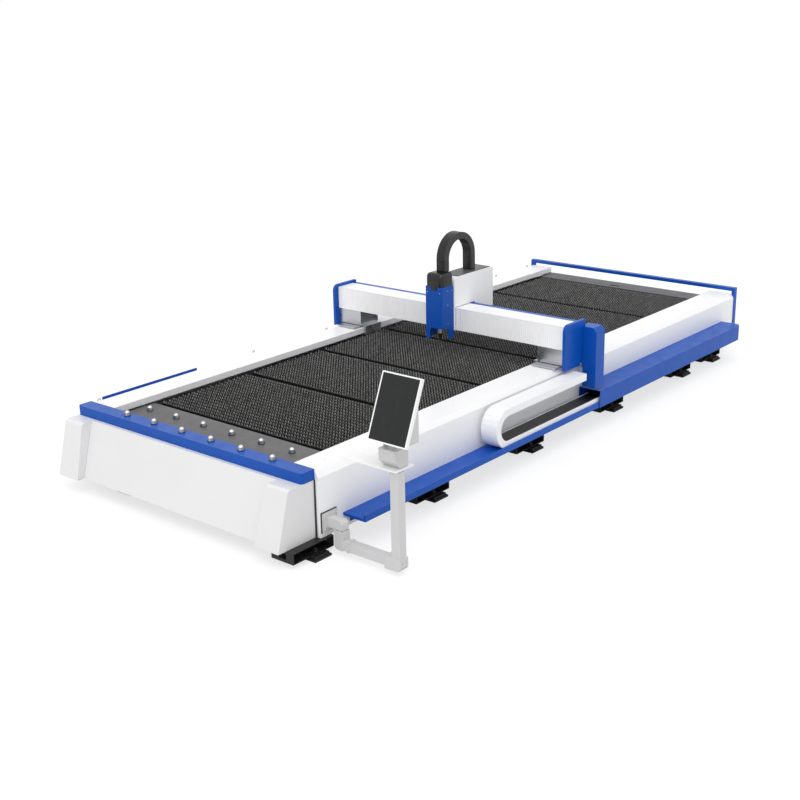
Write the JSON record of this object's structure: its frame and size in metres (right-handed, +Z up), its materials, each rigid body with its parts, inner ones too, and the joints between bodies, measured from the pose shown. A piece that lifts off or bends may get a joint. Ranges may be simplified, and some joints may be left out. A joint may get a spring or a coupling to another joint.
{
  "type": "fiber laser cutting machine",
  "caption": "Open flatbed sheet metal laser cutter: long slatted bed, gantry with cutting head, cable chain in a side tray, and a swinging operator console.",
  "frame": {"origin": "on the floor, under the middle of the whole machine", "axes": "+Z up, +Y along the bed away from the operator's end, +X across the bed to the console side"},
  "size_m": [3.9986, 7.925, 1.9209],
  "materials": {
    "blue_paint": "gloss blue paint",
    "white_paint": "satin white paint",
    "grey_paint": "satin dark grey paint",
    "console_paint": "fine textured light grey powder coat",
    "frame_paint": "grey primer paint",
    "black_paint": "satin black paint",
    "slat_steel": "dark rolled steel",
    "bright_steel": "ground steel",
    "stainless": "brushed stainless sheet",
    "ball_chrome": "polished steel",
    "black_plastic": "matte black plastic",
    "white_plastic": "satin white plastic",
    "bellows_cloth": "coated white fabric",
    "cut_aluminium": "machined aluminium",
    "nozzle_brass": "turned brass",
    "screen_face": "dark display glass"
  },
  "bodies": {
    "base": {"front_bar": "blue_paint", "front_panel": "white_paint", "front_housings": "white_paint", "side_covers": "white_paint", "beam_covers": "white_paint", "bed_main_tubes": "frame_paint", "bed_cross_members": "frame_paint", "cover_brackets": "frame_paint", "loading_deck": "grey_paint", "rear_deck": "grey_paint", "rear_panel": "white_paint", "rear_frame": "blue_paint", "y_rails_and_racks": "bright_steel", "cable_tray": "blue_paint", "cable_trough": "blue_paint", "edge_strip_left": "blue_paint", "lifting_eyes": "bright_steel", "foot_brackets": "black_paint", "foot_pads": "black_paint", "ball_cups": "bright_steel", "chain_lower_run": "white_plastic", "chain_anchor": "black_plastic", "slat_bay_1": "slat_steel", "slat_bay_2": "slat_steel", "slat_bay_3": "slat_steel", "slat_bay_4": "slat_steel", "slat_bay_5": "slat_steel", "slat_bay_6": "slat_steel", "console_mount": "console_paint"},
    "gantry": {"gantry_beam": "blue_paint", "gantry_cover": "white_paint", "end_plates": "blue_paint", "chain_column": "blue_paint", "slide_brackets": "stainless", "side_boxes": "stainless", "x_rails_and_rack": "bright_steel", "bellows_left": "bellows_cloth", "bellows_right": "bellows_cloth", "chain_upper_run": "white_plastic"},
    "carriage": {"carriage_plate": "cut_aluminium", "z_housing": "white_paint", "z_housing_cap": "grey_paint", "z_rails": "bright_steel", "cable_arch": "black_plastic"},
    "head": {"head_plate": "cut_aluminium", "head_cover": "blue_paint", "head_cap": "black_plastic", "cutting_head": "cut_aluminium", "nozzle": "nozzle_brass"},
    "chain_turn": {"chain_bend": "white_plastic"},
    "chain_lead": {"chain_upper_link": "white_plastic"},
    "console_arm_body": {"console_arm": "console_paint", "console_pole": "console_paint"},
    "console_head_body": {"keyboard_tray": "console_paint", "screen_turret": "console_paint"},
    "screen": {"screen_case": "white_paint", "screen_glass": "screen_face", "screen_rear_case": "console_paint"},
    "bar_ball_row": {"balls_bar": "ball_chrome"},
    "deck_ball_row": {"balls_deck": "ball_chrome"}
  },
  "joints": [
    {"name": "gantry_travel", "type": "slide", "parent": "base", "child": "gantry", "axis": [0, 1, 0], "range_m": [-2.55, 3], "deforming": ["chain_upper_run", "chain_lower_run"]},
    {"name": "chain_turn_travel", "type": "slide", "parent": "base", "child": "chain_turn", "axis": [0, 1, 0], "range_m": [-1.275, 1.5]},
    {"name": "chain_lead_travel", "type": "slide", "parent": "gantry", "child": "chain_lead", "axis": [0, 1, 0], "range_m": [-1.5, 1.275]},
    {"name": "carriage_travel", "type": "slide", "parent": "gantry", "child": "carriage", "axis": [1, 0, 0], "range_m": [-1.06, 0.98], "deforming": ["bellows_left", "bellows_right"]},
    {"name": "head_lift", "type": "slide", "parent": "carriage", "child": "head", "axis": [0, 0, 1], "range_m": [-0.13, 0.04], "deforming": ["cable_arch"]},
    {"name": "console_arm_swing", "type": "hinge", "parent": "base", "child": "console_arm_body", "pos_m": [1.20075, -3.4185, 0.1], "axis": [0, 0, 1], "range_deg": [-60, 45]},
    {"name": "console_head_swivel", "type": "hinge", "parent": "console_arm_body", "child": "console_head_body", "pos_m": [1.80375, -3.4185, 0.884], "axis": [0, 0, 1], "range_deg": [-90, 90]},
    {"name": "screen_tilt", "type": "hinge", "parent": "console_head_body", "child": "screen", "pos_m": [1.74775, -3.4045, 1.092], "axis": [1, 0, 0], "range_deg": [-12, 20]},
    {"name": "bar_ball_roll", "type": "hinge", "parent": "base", "child": "bar_ball_row", "pos_m": [-0.42925, -3.5805, 0.7643], "axis": [1, 0, 0], "continuous": true},
    {"name": "deck_ball_roll", "type": "hinge", "parent": "base", "child": "deck_ball_row", "pos_m": [-0.42925, -3.1925, 0.6723], "axis": [1, 0, 0], "continuous": true}
  ],
  "couplings": [
    {"joint": "chain_turn_travel", "follows": "gantry_travel", "ratio": 0.5},
    {"joint": "chain_lead_travel", "follows": "gantry_travel", "ratio": -0.5}
  ]
}
